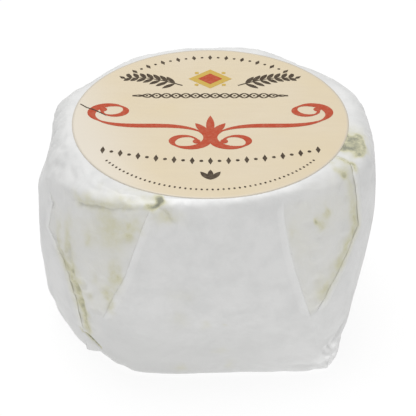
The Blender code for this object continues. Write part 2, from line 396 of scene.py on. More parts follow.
# The fine crease near the label's left edge, its shade painted as a thin dark line in brown ink.
HAIR_KNOTS = ((-34.6, 6.4), (-32.8, 4.6), (-30.9, 3.5), (-29.0, 2.0), (-27.3, 0.5))
HAIR_WIDTHS = (0.30, 0.36, 0.42, 0.34, 0.14)

# Camera and studio. A softbox is its name, place, target, size across and watts.
CAMERA_ELEVATION = 36.76
CAMERA_DISTANCE = 305.7
CAMERA_AIM = (1.20, 0.0, 27.39)
CAMERA_LENS = 95.2
CAMERA_SENSOR = 36.0
FLOOR_HALF_SIZE = 3000.0
FLOOR_DROP = 0.1
FLOOR_GLOW = 0.84
SKY_STRENGTH = 0.36
SOFTBOXES = (
    ("overhead_softbox", (-60, 120, 620), (0, 0, 30), 520, 2.5),
    ("front_softbox", (170, -640, 340), (0, 0, 25), 420, 0.75),
)

# Colours, linear.
PAPER_COLOUR = (0.805, 0.805, 0.798, 1.0)
PAPER_SHADE = (0.740, 0.742, 0.735, 1.0)
SHADED_FRONT_COLOUR = (0.670, 0.672, 0.662, 1.0)
SINGLE_PAPER_COLOUR = (0.785, 0.780, 0.735, 1.0)
WHITENED_AND_HIGHLIT_COLOUR = (0.960, 0.960, 0.955, 1.0)
STAIN_AND_SHADE_COLOUR = (0.670, 0.650, 0.450, 1.0)
DARK_STAIN_AND_SHADOW_COLOUR = (0.300, 0.305, 0.235, 1.0)
LABEL_COLOUR = (0.765, 0.650, 0.450, 1.0)
LABEL_CLOUD_COLOUR = (0.770, 0.672, 0.512, 1.0)
LABEL_GRAIN_COLOUR = (0.728, 0.620, 0.450, 1.0)
LABEL_PALE_COLOUR = (0.785, 0.718, 0.610, 1.0)
RED_INK = (0.500, 0.068, 0.026, 1.0)
BROWN_INK = (0.060, 0.040, 0.024, 1.0)
GOLD_INK = (0.620, 0.420, 0.080, 1.0)
RIND_COLOUR = (0.780, 0.750, 0.640, 1.0)
RIND_GREY = (0.620, 0.600, 0.480, 1.0)
WHITE = (1.0, 1.0, 1.0, 1.0)
FLOOR_COLOUR = (0.20, 0.20, 0.20, 1.0)

# Patterns of the materials: size in mm, detail and roughness of the noise, the noise values that the pattern
# runs between, and its least and most.
PAPER_MOTTLE = (5.5, 4.0, 0.6, 0.40, 0.66, 0.45, 1.0)
STAIN_AND_SHADE_PATCHES = (3.0, 5.0, 0.65, 0.36, 0.62, 0.42, 1.0)
PAPER_CLOUD = (7.0, 5.0, 0.6, 0.42, 0.68, 0.0, 1.0)
WHITENING_AND_HIGHLIGHT_PATCHES = (4.0, 4.0, 0.6, 0.30, 0.60, 0.45, 1.0)
PAPER_GLOSS = (8.0, 3.0, 0.5, 0.3, 0.7, 0.40, 0.58)
LABEL_CLOUD = (20.0, 3.0, 0.5, 0.3, 0.7, 0.0, 1.0)
LABEL_GRAIN = (1.2, 3.0, 0.5, 0.35, 0.65, 0.0, 0.35)
LABEL_GRAIN_STRETCH = (0.15, 1.0, 1.0)
INK_PATCHES = (0.8, 4.0, 0.6, 0.40, 0.70, 0.0, 1.0)
RIND_PATCHES = (4.0, 5.0, 0.6, 0.45, 0.70, 0.0, 1.0)
DARK_STAIN_AND_SHADOW = (0.85, 1.8)
INK_PAPER_SHARE = 0.10

# Grain of the materials: size in mm, detail and roughness of the noise. A bump is its distance and strength.
PAPER_FIBRES = (0.35, 3.0, 0.6)
PAPER_PUCKERS = (2.4, 4.0, 0.55)
FIBRE_SHARE = 0.10
PAPER_BUMP = (0.20, 0.7)
LABEL_TOOTH = (0.6, 3.0, 0.6)
LABEL_BUMP = (0.03, 0.4)
RIND_NAP = (0.9, 5.0, 0.65)
RIND_BUMP = (0.25, 0.8)


def smooth(low, high, value):
    """0 at low, 1 at high, with an even ramp between them."""
    share = np.clip((value - low) / (high - low), 0.0, 1.0)
    return share * share * (3.0 - 2.0 * share)


def taper(along, start, reach):
    """How a line weakens towards its ends, as a half wave."""
    return np.sin(math.pi * (start + reach * along))


def polar(radius, direction):
    """(x, y) at this distance from the axis in a direction."""
    angle = np.radians(direction)
    return np.stack([radius * np.cos(angle), radius * np.sin(angle)], axis=-1)


def angle_between(direction, other):
    """Signed angle from another direction, -180 to 180."""
    return (direction - other + 180.0) % 360.0 - 180.0


def sector(direction, middle, half_width, power=4):
    """1 in the middle direction, falling to 0 past half_width degrees from it."""
    return np.exp(-((angle_between(direction, middle) / half_width) ** power))


def noise_at(points, size, seed=0.0):
    """Soft noise, about -1 to 1, with features of this size in millimetres."""
    flat = points.reshape(-1, 3) / size + seed
    values = [noise.noise(Vector(point)) for point in flat]
    return np.array(values).reshape(points.shape[:-1])


def soft_relief(kind, points):
    """Soft noise of a kind, given by its amplitude, size and seed."""
    amplitude, size, seed = kind
    return amplitude * noise_at(points, size, seed)


def ridged_relief(kind, points):
    """Noise with sharp ridges between soft hollows."""
    amplitude, size, seed, slope, level = kind
    return amplitude * (1.0 - slope * np.abs(noise_at(points, size, seed)) - level)


def link_mesh(name, vertices, faces):
    """A new object of these points and faces."""
    mesh = bpy.data.meshes.new(name)
    mesh.from_pydata([tuple(vertex) for vertex in vertices], [], faces)
    obj = bpy.data.objects.new(name, mesh)
    bpy.context.scene.collection.objects.link(obj)
    return obj


def disc_faces(rings, count, middle, first):
    """Faces of rings of this many points round a middle point. The inmost ring starts at first."""
    faces = []
    for side in range(count):
        after = (side + 1) % count
        faces.append((middle, first + side, first + after))
        for ring in range(rings - 1):
            inner, outer = first + ring * count, first + (ring + 1) * count
            faces.append((inner + side, outer + side, outer + after, inner + after))
    return faces


def paint(mesh, name, values):
    """Stores a value at each of the mesh's points, for its material."""
    layer = mesh.attributes.new(name, "FLOAT", "POINT")
    layer.data.foreach_set("value", values.astype(np.float32))


def add_thickness(sheet, offset):
    """Gives a sheet its thickness, below its face at offset -1 and to both sides at 0."""
    modifier = sheet.modifiers.new("Thickness", "SOLIDIFY")
    modifier.thickness = SHEET_THICKNESS * MM
    modifier.offset = offset


# The outer form


def outline_radius(direction, sides, sharpness):
    """Radius of the polygon with these flat sides, its corners rounder at a lower sharpness."""
    total = np.zeros_like(direction)
    for side_direction, distance in sides:
        facing = np.clip(np.cos(np.radians(direction - side_direction)), 0.0, None)
        total += (facing / distance) ** sharpness
    return total ** (-1.0 / sharpness)


def shoulder_size(direction):
    """Inset and drop of the rounded shoulder."""
    place = direction / SHOULDER_PITCH
    before = np.floor(place).astype(int)
    share = smooth(0.0, 1.0, place - before)
    sizes = np.array(SHOULDER)
    first, second = sizes[before % len(sizes)], sizes[(before + 1) % len(sizes)]
    size = first * (1.0 - share)[..., None] + second * share[..., None]
    return size[..., 0], size[..., 1]


def foot_size(direction):
    """Radius of the foot's rounding, larger where a folded corner is lifted."""
    size = np.full_like(direction, FOOT_ROUNDING)
    for lifted_direction, half_width, extra in LIFTED_FEET:
        size += extra * sector(direction, lifted_direction, half_width)
    return size


def sag_depth(x, y):
    """How far the top hangs below its flat height at a point given from the wrap's axis."""
    sag_direction, half_width, start, end, depth = SAG
    beside = sector(np.degrees(np.arctan2(y, x)), sag_direction, half_width, 2)
    return depth * beside * smooth(start, end, np.hypot(x, y))


def panel_radius(direction, height):
    """Radius of the panels' outer face, with the shoulder and the foot still square."""
    share = height / WRAP_HEIGHT
    foot = outline_radius(direction, FOOT_SIDES, FOOT_SHARPNESS)
    upper = outline_radius(direction, UPPER_SIDES, UPPER_SHARPNESS)
    return foot + (upper - foot) * share + BELLY * np.sin(math.pi * share)


def ring_profile(kind, share, direction):
    """Radius, height and tilt on one ring of the sheet, of the top, shoulder, side, foot or underside."""
    inset, drop = shoulder_size(direction)
    if kind == "top":
        height = np.full_like(direction, WRAP_HEIGHT)
        return (panel_radius(direction, height) - inset) * share, height, 0.5 * math.pi
    if kind == "shoulder":
        angle = 0.5 * math.pi * share
        height = WRAP_HEIGHT - drop * (1.0 - math.cos(angle))
        radius = panel_radius(direction, height) - inset * (1.0 - math.sin(angle))
        return radius, height, 0.5 * math.pi - angle
    foot = foot_size(direction)
    if kind == "side":
        height = (WRAP_HEIGHT - drop) * (1.0 - share) + foot * share
        return panel_radius(direction, height), height, 0.0
    if kind == "foot":
        angle = 0.5 * math.pi * share
        height = foot * (1.0 - math.sin(angle))
        return panel_radius(direction, height) - foot * (1.0 - math.cos(angle)), height, -angle
    height = np.zeros_like(direction)
    edge = panel_radius(direction, height) - foot
    return edge * (1.0 - share) + CENTRE_GAP_RADIUS * share, height, -0.5 * math.pi


def sheet_rings():
    """(kind, share) of every ring, from the top's middle round to the gap under the cheese."""
    rings = []
    for kind, count in RINGS.items():
        for step in range(count):
            share = (step + 1) / count
            rings.append((kind, math.sqrt(share) if kind == "top" else share))
    return rings


# The folded sheet


def edge_on_ring(kite, side, kind, share):
    """Where a kite's first or last crease crosses a ring: direction, height, how far it is folded, depth."""
    knots, depths = kite["creases"][side], kite["depths"][side]
    _, height, _ = ring_profile(kind, share, np.array([float(knots[0][1])]))
    height = float(height[0])
    heights, directions = zip(*reversed(knots))
    direction = float(np.interp(height, heights, directions))
    point, top = heights[0], heights[-1]
    folded = float((1.0 - smooth(top - FOLD_START, top, height)) * smooth(point, point + FOLD_END, height))
    depth = float(np.interp(height, (point, top), (depths[1], depths[0])))
    return direction, height, folded, depth


def turned_edge(kite, side, kind, share):
    """Columns of the sheet from a panel's face round its edge to the kite."""
    direction, height, folded, depth = edge_on_ring(kite, side, kind, share)
    inward = 1.0 if side else -1.0
    tuck = min(TUCK_SLOPE * (WRAP_HEIGHT - height), TUCK_MOST)
    columns = []
    for reach, tuck_share, drop, depth_share, worn_or_highlit in TURN:
        distance = folded * (reach + tuck * tuck_share)
        turned = direction + inward * math.degrees(distance / MEAN_RADIUS)
        offset = -folded * (drop + (depth + KITE_HOLLOW) * depth_share)
        columns.append((turned, offset, worn_or_highlit * folded, 0.0, 1.0 - side))
    return columns


def kite_columns(kite, kind, share):
    """Columns of the kite, which lies deepest at its creases."""
    start, _, first, first_depth = edge_on_ring(kite, 0, kind, share)
    end, _, last, last_depth = edge_on_ring(kite, 1, kind, share)
    columns = []
    for step in range(KITE_SPANS + 1):
        along = step / KITE_SPANS
        folded = first + (last - first) * along
        from_first = first * first_depth * (1.0 - along) ** KITE_HOLLOW_POWER
        from_last = last * last_depth * along**KITE_HOLLOW_POWER
        single = folded * min(1.0, SINGLE_SLOPE * min(along, 1.0 - along) + SINGLE_START)
        offset = -KITE_HOLLOW * folded - from_first - from_last
        columns.append((start + (end - start) * along, offset, 0.0, single, 1.0 - along))
    return columns


def ring_columns(kind, share):
    """Every column of the sheet on one ring, once round: (direction, offset, worn, single, lap)."""
    columns = []
    for index, kite in enumerate(KITES):
        following = KITES[(index + 1) % len(KITES)]
        after = turned_edge(kite, 1, kind, share)[::-1]
        columns += turned_edge(kite, 0, kind, share) + kite_columns(kite, kind, share) + after
        first = after[-1][0]
        last = turned_edge(following, 0, kind, share)[0][0]
        if last < first:
            last += 360.0
        spans, power = PANEL_SPANS[index]
        for step in range(1, spans):
            along = (step / spans) ** power
            columns.append((first + (last - first) * along, 0.0, 0.0, 0.0, along))
    return columns


def distance_to_line(direction, height, knots):
    """Distance over the side to a line of (height, direction) knots, and the share along it."""
    nearest = np.full_like(direction, 1e6)
    along = np.zeros_like(direction)
    spans = len(knots) - 1
    for index in range(spans):
        (low_height, low), (high_height, high) = knots[index], knots[index + 1]
        across = np.radians(angle_between(direction, low)) * MEAN_RADIUS
        up = height - low_height
        run = (math.radians(high - low) * MEAN_RADIUS, high_height - low_height)
        share = np.clip((across * run[0] + up * run[1]) / (run[0] ** 2 + run[1] ** 2), 0.0, 1.0)
        distance = np.hypot(across - share * run[0], up - share * run[1])
        closer = distance < nearest
        nearest = np.where(closer, distance, nearest)
        along = np.where(closer, (index + share) / spans, along)
    return nearest, along


def side_distance(direction, height, centre_direction, centre_height, half_width, half_height):
    """How far a point of the side is from a spot's centre, in shares of the spot's half-sizes."""
    across = np.radians(angle_between(direction, centre_direction)) * MEAN_RADIUS
    return np.hypot(across / half_width, (height - centre_height) / half_height)


def paper_relief(direction, height, tilt, points, single):
    """Unevenness of the paper, outwards, in millimetres."""
    on_shoulder = smooth(*SHOULDER_HEIGHTS, height)
    on_side = 1.0 - smooth(*SIDE_TILTS, np.abs(tilt))
    tall = points * np.array([1.0, 1.0, UPRIGHT_SHARE])
    relief = soft_relief(SWELL, points) + soft_relief(RIPPLE, points)
    relief += soft_relief(PANEL_WAVE, tall) * on_side
    crinkled = CRINKLE_ON_PANELS + (1.0 - CRINKLE_ON_PANELS) * single
    relief += ridged_relief(CRINKLE, points) * crinkled * on_side
    relief += soft_relief(STREAK, tall) * single * on_side
    facing = smooth(*WRINKLED_COSINES, np.cos(np.radians(direction - WRINKLED_SIDE)))
    wrinkled = WRINKLES_ELSEWHERE + (1.0 - WRINKLES_ELSEWHERE) * facing
    relief += ridged_relief(SHOULDER_WRINKLE, tall) * on_shoulder * wrinkled
    for knots, depth, half_width in PRESSED_CREASES:
        distance, along = distance_to_line(direction, height, knots)
        fade = np.clip(CREASE_GAIN * taper(along, *CREASE_TAPER), 0.0, 1.0)
        relief -= depth * fade * np.exp(-((distance / half_width) ** CREASE_SHARPNESS))
    from_corner = side_distance(direction, height, *CRUMPLED_CORNER)
    relief += ridged_relief(CORNER_FACET, points) * np.exp(-(from_corner**CRUMPLE_FALLOFF))
    for *place, amount in STIFF_CORNERS:
        relief += amount * np.exp(-(side_distance(direction, height, *place) ** STIFF_FALLOFF))
    flare_direction, half_width, amount, fade = FOOT_FLARE
    flare = amount * np.exp(-((height / fade) ** 2))
    relief += flare * sector(direction, flare_direction, half_width) * on_side
    from_label = np.hypot(points[..., 0] - LABEL_CENTRE[0], points[..., 1] - LABEL_CENTRE[1]) - LABEL_RADIUS
    free = np.maximum(smooth(*LABEL_CLEARANCE, from_label), 1.0 - smooth(*LABEL_HEIGHTS, height))
    return relief * free * (1.0 - UNDERSIDE_FLATNESS * smooth(*FOOT_TILTS, -tilt))


def stain_and_shade_strength(direction, height, points):
    """How strongly the damp rind shows at each point, in uneven smears, with painted shade beside the panels'
    edges and at the tuck under the rim, and a painted shadow in the tip's gap.
    """
    moved = direction + np.degrees(soft_relief(WANDER_ACROSS, points) / MEAN_RADIUS)
    raised = height + soft_relief(WANDER_UP, points)
    total = np.zeros_like(direction)
    for *place, strength in STAINS_AND_SHADE:
        total += strength * np.exp(-(side_distance(moved, raised, *place) ** 2))
    for knots, half_width, strength in DAMP_AND_SHADED_STRIPS:
        distance, along = distance_to_line(direction, raised, knots)
        total += strength * np.exp(-((distance / half_width) ** 2)) * taper(along, *STRIP_TAPER)
    # A painted shadow in the gap over the tip, made dark through the stain colours.
    distance, along = distance_to_line(direction, height, TIP_GAP)
    gap = np.exp(-((distance / TIP_GAP_HALF_WIDTH) ** 4)) * taper(along, *GAP_TAPER)
    return np.clip(total + TIP_GAP_STRENGTH * gap, 0.0, STAIN_AND_SHADE_MOST)


def build_sheet():
    """Points of the sheet in millimetres, (rings, columns, 3), and its painting values."""
    rings = sheet_rings()
    shape = (len(rings), len(ring_columns("side", 0.5)))
    direction, height, radius, tilt = (np.zeros(shape) for _ in range(4))
    offset, worn_or_highlit, single, lap = (np.zeros(shape) for _ in range(4))
    for index, (kind, share) in enumerate(rings):
        columns = np.array(ring_columns(kind, share))
        direction[index], offset[index], worn_or_highlit[index], single[index], lap[index] = columns.T
        radius[index], height[index], tilt[index] = ring_profile(kind, share, direction[index])
    base = np.dstack([polar(radius, direction), height])
    outward = np.dstack([polar(np.cos(tilt), direction), np.sin(tilt)])
    relief = paper_relief(direction, height, tilt, base, single)
    points = base + outward * (offset + relief)[..., None]
    points[..., 2] -= sag_depth(base[..., 0], base[..., 1]) * smooth(*SAG_FADES, height)
    points[..., 2] = np.maximum(points[..., 2], 0.0)
    points[..., 2] += UNDER_STEP * lap * smooth(*UNDERSIDE_TILTS, -tilt)
    # The rim and the crumpled corner get whitened wax, and a painted highlight there too.
    rim = sector(direction, *WHITENED_HIGHLIT_RIM) * smooth(*WHITENED_HIGHLIT_RIM_TILTS, tilt)
    rim *= 1.0 - smooth(*FLAT_TOP_TILTS, tilt)
    corner = np.exp(-(side_distance(direction, height, *CRUMPLED_CORNER) ** 4))
    values = {
        "single": single,
        "stain_and_shade": stain_and_shade_strength(direction, height, base),
        "worn_or_highlit": np.maximum.reduce([worn_or_highlit, rim, corner]),
        # free is painted shade, greyer towards the front panel's foot.
        "free": sector(direction, *SHADED_FRONT) * (1.0 - smooth(*SHADED_FRONT_HEIGHTS, height)),
    }
    return points, values


def form_point(height, direction, inside):
    """A point this far inside the form's outer face, in millimetres."""
    radius = panel_radius(np.array([float(direction)]), np.array([float(height)]))[0] - inside
    return np.array([*polar(radius, direction), height])


def make_tip(shift):
    """The free tip of the left panel, a small curved triangle of paper."""
    top, outer, inner = (form_point(*corner) for corner in (TIP_TOP, TIP_OUTER, TIP_INNER))
    points, faces = [], []
    for row in range(TIP_STEPS + 1):
        down = row / TIP_STEPS
        for step in range(row + 1):
            across = step / row if row else 0.0
            point = top + (outer - top) * down + (inner - outer) * down * across
            points.append(point + np.array(TIP_BOW) * math.sin(math.pi * across) * down)
    for row in range(TIP_STEPS):
        above, below = row * (row + 1) // 2, (row + 1) * (row + 2) // 2
        for step in range(row + 1):
            faces.append((above + step, below + step, below + step + 1))
            if step < row:
                faces.append((above + step, below + step + 1, above + step + 1))
    tip = link_mesh("paper_tip", (np.array(points) + shift) * MM, faces)
    tip.data.shade_smooth()
    add_thickness(tip, 0.0)
    return tip


def make_paper(shift):
    """The wrapping paper as one mesh."""
    points, values = build_sheet()
    rings, count = points.shape[:2]
    flat = points.reshape(-1, 3)
    vertices = (np.vstack([flat, (0.0, 0.0, WRAP_HEIGHT)]) + shift) * MM
    paper = link_mesh("folded_paper", vertices, disc_faces(rings, count, len(flat), 0))
    mesh = paper.data
    for name, value in values.items():
        paint(mesh, name, np.append(value, 0.0))
    form = bmesh.new()
    form.from_mesh(mesh)
    bmesh.ops.remove_doubles(form, verts=form.verts, dist=MERGE_DISTANCE * MM)
    form.to_mesh(mesh)
    form.free()
    mesh.shade_smooth()
    return paper


# The label and its print


def paper_top(x, y):
    """Height of the paper under a point of the label, where it turns over the shoulder."""
    direction = np.degrees(np.arctan2(y, x))
    inset, drop = shoulder_size(direction)
    flat = panel_radius(direction, np.full_like(direction, WRAP_HEIGHT)) - inset
    past = np.clip((np.hypot(x, y) - flat) / inset, 0.0, LABEL_STEEPEST)
    return WRAP_HEIGHT - drop * (1.0 - np.sqrt(1.0 - past**2)) - sag_depth(x, y)


def label_top(x, y):
    """Height of the label's printed face at a point given from the label's middle."""
    across = x + LABEL_CENTRE[0]
    deep = y + LABEL_CENTRE[1]
    share = np.hypot(x, y) / LABEL_RADIUS
    places = np.stack([x, y, np.zeros_like(x)], axis=-1)
    cockle = np.clip(soft_relief(LABEL_COCKLE, places), 0.0, None) * share**2
    return paper_top(across, deep) + LABEL_GAP + cockle


def place_on_label(flat, lift, shift):
    """Points in metres from (x, y) pairs given from the label's middle."""
    flat = np.asarray(flat, dtype=float)
    height = label_top(flat[:, 0], flat[:, 1]) + lift
    centre = np.array([LABEL_CENTRE[0], LABEL_CENTRE[1], 0.0])
    return (np.column_stack([flat, height]) + centre + shift) * MM


def make_label(shift):
    """The label, a disc with a thickness, paler towards one side, and painted pale at its cut rim as light
    over the shade of the edge.
    """
    turns = np.arange(LABEL_SIDES) * 360.0 / LABEL_SIDES
    radii = LABEL_RADIUS * (np.arange(1, LABEL_RINGS + 1) / LABEL_RINGS) ** LABEL_RING_POWER
    flat = np.concatenate([np.zeros((1, 2)), *(polar(radius, turns) for radius in radii)])
    faces = disc_faces(LABEL_RINGS, LABEL_SIDES, 0, 1)
    label = link_mesh("printed_label", place_on_label(flat, 0.0, shift), faces)
    label.data.shade_smooth()
    towards = flat @ np.array(PALE_SIDE)
    rim = smooth(*PALE_RIM, np.hypot(flat[:, 0], flat[:, 1]) / LABEL_RADIUS)
    paint(label.data, "pale", np.maximum(smooth(*PALE_REACH, towards), rim))
    add_thickness(label, -1.0)
    return label


class Ink:
    """Flat printed shapes of one colour, gathered into one mesh."""

    def __init__(self):
        self.flat = []
        self.lifts = []
        self.faces = []
        self.shapes = 0

    def add(self, points):
        """Adds a shape's points, each shape a little above the last, and gives the first one's number."""
        start = len(self.flat)
        self.flat.extend(tuple(point) for point in points)
        self.lifts.extend([INK_STEP * (self.shapes % INK_LAYERS)] * len(points))
        self.shapes += 1
        return start

    def polygon(self, outline):
        """A filled shape, as a fan round its middle."""
        start = self.add([np.mean(outline, axis=0), *outline])
        count = len(outline)
        for side in range(count):
            self.faces.append((start, start + 1 + side, start + 1 + (side + 1) % count))

    def stroke(self, line, widths):
        """A line with a width at each of its points."""
        line = np.asarray(line, dtype=float)
        along = np.gradient(line, axis=0)
        along /= np.linalg.norm(along, axis=1)[:, None]
        side = np.column_stack([-along[:, 1], along[:, 0]]) * (np.asarray(widths) * 0.5)[:, None]
        start = self.add(np.stack([line - side, line + side], axis=1).reshape(-1, 2))
        for step in range(len(line) - 1):
            first = start + 2 * step
            self.faces.append((first, first + 2, first + 3, first + 1))

    def make(self, name, shift, lift=INK_LIFT):
        """The ink as an object, this far above the label."""
        return link_mesh(name, place_on_label(self.flat, lift + np.array(self.lifts), shift), self.faces)


def placed(outline, turn, place):
    """An outline turned by this many degrees and moved to its place."""
    spin = math.radians(turn)
    rotate = np.array([[math.cos(spin), math.sin(spin)], [-math.sin(spin), math.cos(spin)]])
    return outline @ rotate + np.array(place)


def oval(centre, half_size, sides, turn=0.0):
    """The outline of an oval, or with few sides of a polygon in one."""
    return placed(polar(1.0, np.arange(sides) * 360.0 / sides) * half_size, turn, centre)


def lozenge(centre, half_size, turn=0.0):
    return oval(centre, half_size, 4, turn)


def leaf(root, length, width, turn):
    """A pointed leaf that starts at its root and points along turn, in degrees."""
    share = np.linspace(0.0, 1.0, 9)
    half = 0.5 * width * np.sin(math.pi * share) ** 0.8
    outline = np.concatenate([
        np.column_stack([share * length, half]),
        np.column_stack([share[-2:0:-1] * length, -half[-2:0:-1]]),
    ])
    return placed(outline, turn, root)


def double_spiral():
    """A scroll that bends evenly more towards both of its ends."""
    along = np.linspace(-1.0, 1.0, SCROLL_STEPS)
    heading = math.pi * SCROLL_TURN * along**2
    line = np.cumsum(np.column_stack([np.cos(heading), np.sin(heading)]), axis=0)
    line -= 0.5 * (line.max(axis=0) + line.min(axis=0))
    return line * np.array([SCROLL_WIDTH, SCROLL_HEIGHT]) / np.ptp(line, axis=0)


def pen_widths(line):
    """Width of a broad pen's stroke, thin along the nib and at both ends."""
    along = np.gradient(line, axis=0)
    heading = np.arctan2(along[:, 1], along[:, 0])
    across = np.abs(np.sin(heading - math.radians(NIB_TURN)))
    ends = np.sin(np.linspace(0.0, math.pi, len(line))) ** 0.5
    return SCROLL_STROKE[0] + (SCROLL_STROKE[1] - SCROLL_STROKE[0]) * across * ends


def draw_scrolls(red):
    """Two mirrored scrolls with a bud between them, the largest figure of the print."""
    line = double_spiral()
    widths = pen_widths(line)
    for side in (-1.0, 1.0):
        mirrored = line * np.array([side, 1.0]) + np.array([side * SCROLL_CENTRE[0], SCROLL_CENTRE[1]])
        red.stroke(mirrored, widths)
        for end in (mirrored[0], mirrored[-1]):
            red.polygon(oval(end, SCROLL_END, 16))
    for turn, length in BUD_LEAVES:
        red.polygon(leaf(BUD_ROOT, length, BUD_LEAF_WIDTH, turn))
    red.polygon(oval(BUD_ROOT, SCROLL_END, 16))


def draw_sprigs(brown):
    """A leafy sprig to each side of the medallion."""
    for side in (-1.0, 1.0):
        share = np.linspace(0.0, 1.0, 24)
        stem = np.column_stack([
            side * (SPRIG_START + SPRIG_LENGTH * share),
            MEDALLION_CENTRE[1] - SPRIG_DROP + SPRIG_RISE * np.sin(math.pi * SPRIG_BEND * share),
        ])
        brown.stroke(stem, np.linspace(*SPRIG_STEM, len(stem)))
        for index in range(SPRIG_LEAVES):
            length = SPRIG_LEAF[0] - SPRIG_LEAF_SHORTENS * index
            for lean in SPRIG_LEANS:
                turn = SPRIG_HEADING + lean if side > 0 else 180.0 - SPRIG_HEADING - lean
                brown.polygon(leaf(stem[3 + 3 * index], length, SPRIG_LEAF[1], turn))


def draw_braid(brown):
    """Two interlaced waves under the sprigs, with a bead in each opening."""
    x = np.linspace(-BRAID_HALF_LENGTH, BRAID_HALF_LENGTH, 150)
    ends = np.clip((BRAID_HALF_LENGTH - np.abs(x)) / BRAID_PERIOD, 0.0, 1.0)
    phase = 2.0 * math.pi * x / BRAID_PERIOD
    wave = BRAID_HEIGHT * np.sin(phase) * ends
    widths = BRAID_STROKE[0] + BRAID_STROKE[1] * np.abs(np.cos(phase))
    for side in (-1.0, 1.0):
        brown.stroke(np.column_stack([x, BRAID_MIDDLE + side * wave]), widths)
    openings = int(BRAID_HALF_LENGTH / (0.5 * BRAID_PERIOD)) - 1
    for index in range(-openings, openings):
        brown.polygon(oval(((index + 0.5) * 0.5 * BRAID_PERIOD, BRAID_MIDDLE), BRAID_BEAD, 10))


def draw_row(brown, places, turns, bead, half_size):
    """A row of lozenges with a bead between each two."""
    for index, (place, turn) in enumerate(zip(places, turns)):
        brown.polygon(oval(place, bead, 10) if index % 2 else lozenge(place, half_size, turn))


def draw_bands(brown):
    """Rows along the top, under the scrolls and along the foot of the label."""
    count = 2 * int(math.radians(UPPER_BAND_REACH) * UPPER_BAND_RADIUS / BEAD_SPACING)
    turns = 90.0 + UPPER_BAND_REACH * np.linspace(1.0, -1.0, count + 1)
    draw_row(brown, polar(UPPER_BAND_RADIUS, turns), turns, UPPER_BEAD, UPPER_LOZENGE)
    share = np.linspace(-1.0, 1.0, 2 * int(LOWER_BAND_HALF_WIDTH / BEAD_SPACING) + 1)
    places = np.column_stack([LOWER_BAND_HALF_WIDTH * share, LOWER_BAND_MIDDLE + LOWER_BAND_RISE * share**2])
    draw_row(brown, places, np.zeros(len(share)), LOWER_BEAD, LOWER_LOZENGE)
    for turn in np.arange(*FOOT_BAND_TURNS):
        brown.polygon(oval(polar(FOOT_BAND_RADIUS, turn), FOOT_BEAD, 8, turn))
    for turn in TUFT_TURNS:
        brown.polygon(leaf(TUFT_ROOT, *TUFT_LEAF, turn))


def draw_medallion(gold, red):
    """A lozenge-shaped medallion above the braid, with a spot off each of its sides."""
    centre, half_size = np.array(MEDALLION_CENTRE), np.array(MEDALLION_HALF_SIZE)
    gold.polygon(lozenge(centre, half_size))
    for corner in ((1.0, 1.0), (-1.0, 1.0), (1.0, -1.0), (-1.0, -1.0)):
        gold.polygon(oval(centre + SPOT_SHARE * half_size * np.array(corner), SPOT_SIZE, 12))
    red.polygon(lozenge(centre, half_size * MEDALLION_INNER_SHARE))


def make_print(shift):
    """The inks, and the painted shade of the fine crease near the label's left edge."""
    red, brown, gold, medallion_red, crease_shade = Ink(), Ink(), Ink(), Ink(), Ink()
    draw_scrolls(red)
    draw_sprigs(brown)
    draw_braid(brown)
    draw_bands(brown)
    draw_medallion(gold, medallion_red)
    crease_shade.stroke(HAIR_KNOTS, HAIR_WIDTHS)
    return {
        "red": [red.make("red_scrolls", shift), medallion_red.make("red_medallion", shift, 2.0 * INK_LIFT)],
        "brown": [brown.make("brown_ornament", shift), crease_shade.make("label_crease_shade", shift, 2.5 * INK_LIFT)],
        "gold": [gold.make("gold_medallion", shift)],
    }


# Materials


def new_material(name, colour, roughness):
    """A Principled material, with its node tree and its shader."""
    material = bpy.data.materials.new(name)
    material.use_nodes = True
    shader = material.node_tree.nodes["Principled BSDF"]
    shader.inputs["Base Color"].default_value = colour
    shader.inputs["Roughness"].default_value = roughness
    return material, material.node_tree, shader


def add_noise(tree, size, detail=3.0, rough=0.5, stretch=(1.0, 1.0, 1.0)):
    """Noise over the object's own coordinates, with features of this size in millimetres."""
    place = tree.nodes.new("ShaderNodeTexCoord")
    scale = tree.nodes.new("ShaderNodeMapping")
    scale.inputs["Scale"].default_value = stretch
    texture = tree.nodes.new("ShaderNodeTexNoise")
    texture.inputs["Scale"].default_value = 1.0 / (size * MM)
    texture.inputs["Detail"].default_value = detail
    texture.inputs["Roughness"].default_value = rough
    tree.links.new(place.outputs["Object"], scale.inputs["Vector"])
    tree.links.new(scale.outputs["Vector"], texture.inputs["Vector"])
    return texture.outputs["Fac"]


def add_range(tree, value, low, high, new_low=0.0, new_high=1.0):
    """The value from low..high turned into new_low..new_high."""
    node = tree.nodes.new("ShaderNodeMapRange")
    node.inputs["From Min"].default_value = low
    node.inputs["From Max"].default_value = high
    node.inputs["To Min"].default_value = new_low
    node.inputs["To Max"].default_value = new_high
    tree.links.new(value, node.inputs["Value"])
    return node.outputs["Result"]


def add_math(tree, operation, first, second):
    """A sum, product and the like. The second term is a socket or a number."""
    node = tree.nodes.new("ShaderNodeMath")
    node.operation = operation
    tree.links.new(first, node.inputs[0])
    if isinstance(second, (int, float)):
        node.inputs[1].default_value = second
    else:
        tree.links.new(second, node.inputs[1])
    return node.outputs[0]


def add_mix(tree, share, first, second):
    """A colour mix. Each colour is a socket or a value."""
    node = tree.nodes.new("ShaderNodeMix")
    node.data_type = "RGBA"
    tree.links.new(share, node.inputs["Factor"])
    for socket, colour in ((node.inputs[6], first), (node.inputs[7], second)):
        if isinstance(colour, tuple):
            socket.default_value = colour
        else:
            tree.links.new(colour, socket)
    return node.outputs[2]


def add_value(tree, name):
    """A painted value of the mesh."""
    node = tree.nodes.new("ShaderNodeAttribute")
    node.attribute_name = name
    return node.outputs["Fac"]


